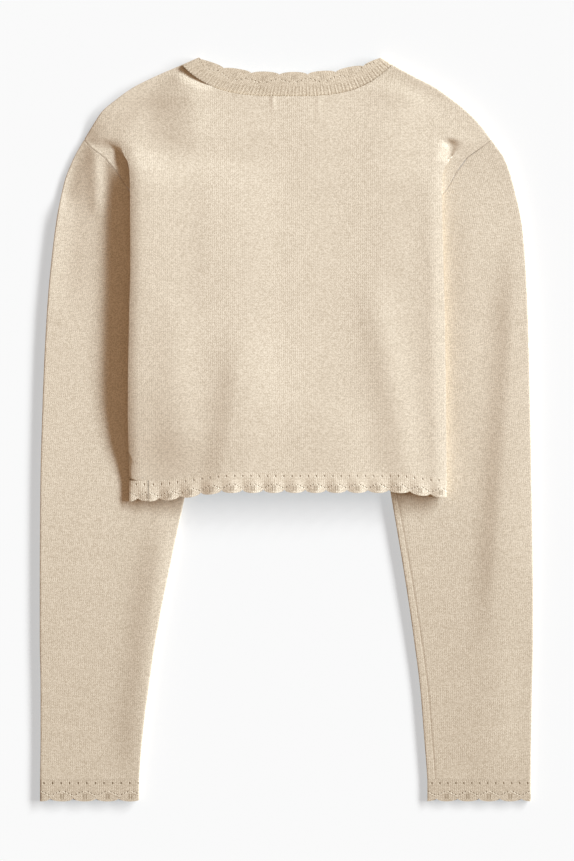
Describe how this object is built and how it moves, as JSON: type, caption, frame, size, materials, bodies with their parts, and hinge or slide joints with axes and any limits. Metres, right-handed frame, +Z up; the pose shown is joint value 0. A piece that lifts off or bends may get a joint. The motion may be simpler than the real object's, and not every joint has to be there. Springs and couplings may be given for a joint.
{
  "type": "cropped knitted cardigan",
  "caption": "Cropped fine-knit long-sleeved cardigan with scalloped lace edgings at neck, cuffs and hem, laid face down with its sides folded over the sleeves.",
  "frame": {"origin": "centre of the laid garment's outline, on the surface it lies on", "axes": "+X to the right of the garment as it lies with its back up, +Y towards its neck, +Z up from the surface"},
  "size_m": [0.4531, 0.6834, 0.019],
  "materials": {
    "champagne_knit": "fine stocking-stitch knit, matt with a slight sheen",
    "scalloped_edging": "openwork scalloped knit, matt",
    "button_shell": "satin"
  },
  "bodies": {
    "root": {"back": "champagne_knit", "left_front": "champagne_knit", "right_front": "champagne_knit", "left_sleeve": "champagne_knit", "right_sleeve": "champagne_knit", "neckband": "scalloped_edging", "back_hem_edging": "scalloped_edging", "left_front_hem_edging": "scalloped_edging", "right_front_hem_edging": "scalloped_edging", "left_cuff_edging": "scalloped_edging", "right_cuff_edging": "scalloped_edging", "button_band": "champagne_knit", "buttonhole_band": "champagne_knit", "button_1": "button_shell", "button_2": "button_shell", "button_3": "button_shell", "button_4": "button_shell", "button_5": "button_shell", "button_6": "button_shell", "button_7": "button_shell"}
  },
  "joints": []
}
